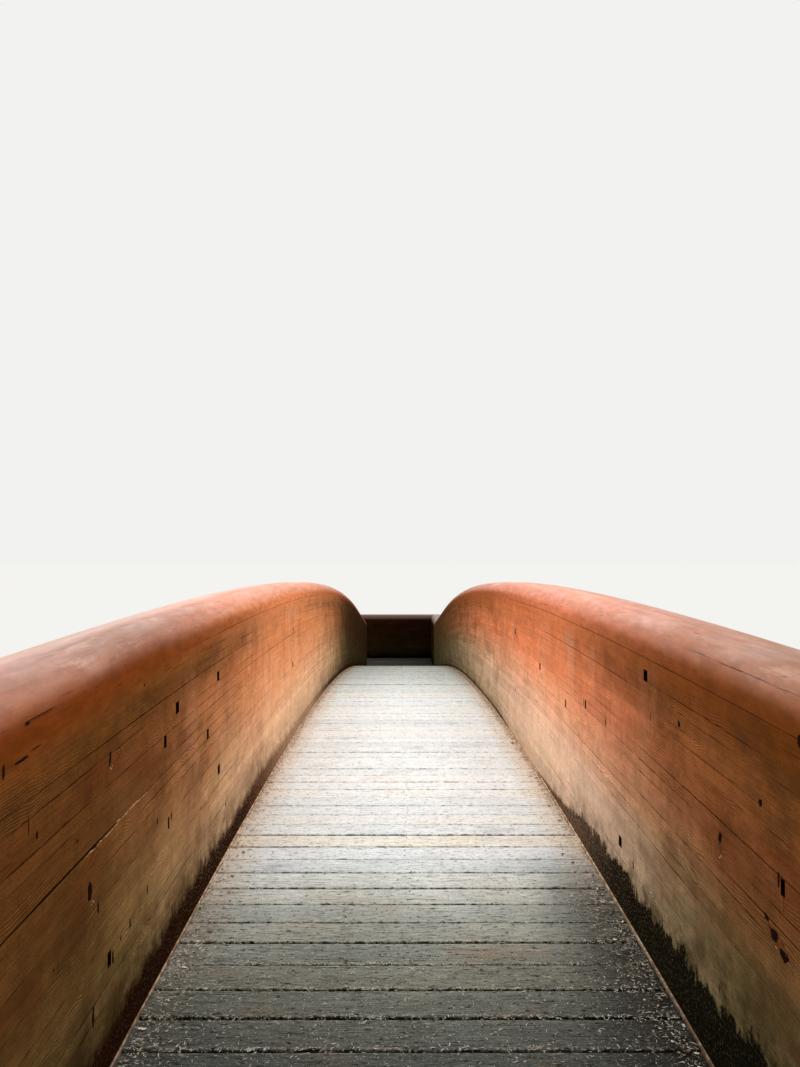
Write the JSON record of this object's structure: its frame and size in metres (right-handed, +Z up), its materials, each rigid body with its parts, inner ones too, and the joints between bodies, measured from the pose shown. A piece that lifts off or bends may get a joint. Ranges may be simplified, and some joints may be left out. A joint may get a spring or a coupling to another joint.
{
  "type": "arched wooden footbridge",
  "caption": "Arched footbridge of curved laminated timber girders that serve as rounded solid parapets, with a plank deck and a level landing at each end.",
  "frame": {"origin": "centre of the footprint, on the ground under the abutments", "axes": "+Y along the bridge towards the far landing, +X across it towards the landings' closed side, +Z up"},
  "size_m": [2.208, 34.842, 3.5183],
  "materials": {
    "glulam_timber": "satin",
    "deck_timber": "matte",
    "frame_timber": "matte",
    "edge_strip": "matte",
    "steelwork": "matte",
    "concrete": "matte"
  },
  "bodies": {
    "root": {"girder_left": "glulam_timber", "girder_right": "glulam_timber", "deck_edge_strip_left": "edge_strip", "deck_edge_strip_right": "edge_strip", "stringer_left": "frame_timber", "stringer_middle": "frame_timber", "stringer_right": "frame_timber", "beam_hangers_left": "steelwork", "beam_hangers_right": "steelwork", "deck_bay_1": "deck_timber", "deck_bay_2": "deck_timber", "deck_bay_3": "deck_timber", "deck_bay_4": "deck_timber", "deck_bay_5": "deck_timber", "deck_bay_6": "deck_timber", "deck_bay_7": "deck_timber", "deck_bay_8": "deck_timber", "deck_bay_9": "deck_timber", "deck_bay_10": "deck_timber", "floor_beam_1": "frame_timber", "floor_beam_2": "frame_timber", "floor_beam_3": "frame_timber", "floor_beam_4": "frame_timber", "floor_beam_5": "frame_timber", "floor_beam_6": "frame_timber", "floor_beam_7": "frame_timber", "floor_beam_8": "frame_timber", "floor_beam_9": "frame_timber", "bearing_shoes_near": "steelwork", "deck_sill_near": "frame_timber", "landing_floor_near": "deck_timber", "landing_joists_near": "frame_timber", "landing_side_wall_near": "glulam_timber", "landing_end_wall_near": "glulam_timber", "abutment_near": "concrete", "bearing_shoes_far": "steelwork", "deck_sill_far": "frame_timber", "landing_floor_far": "deck_timber", "landing_joists_far": "frame_timber", "landing_side_wall_far": "glulam_timber", "landing_end_wall_far": "glulam_timber", "abutment_far": "concrete"}
  },
  "joints": []
}
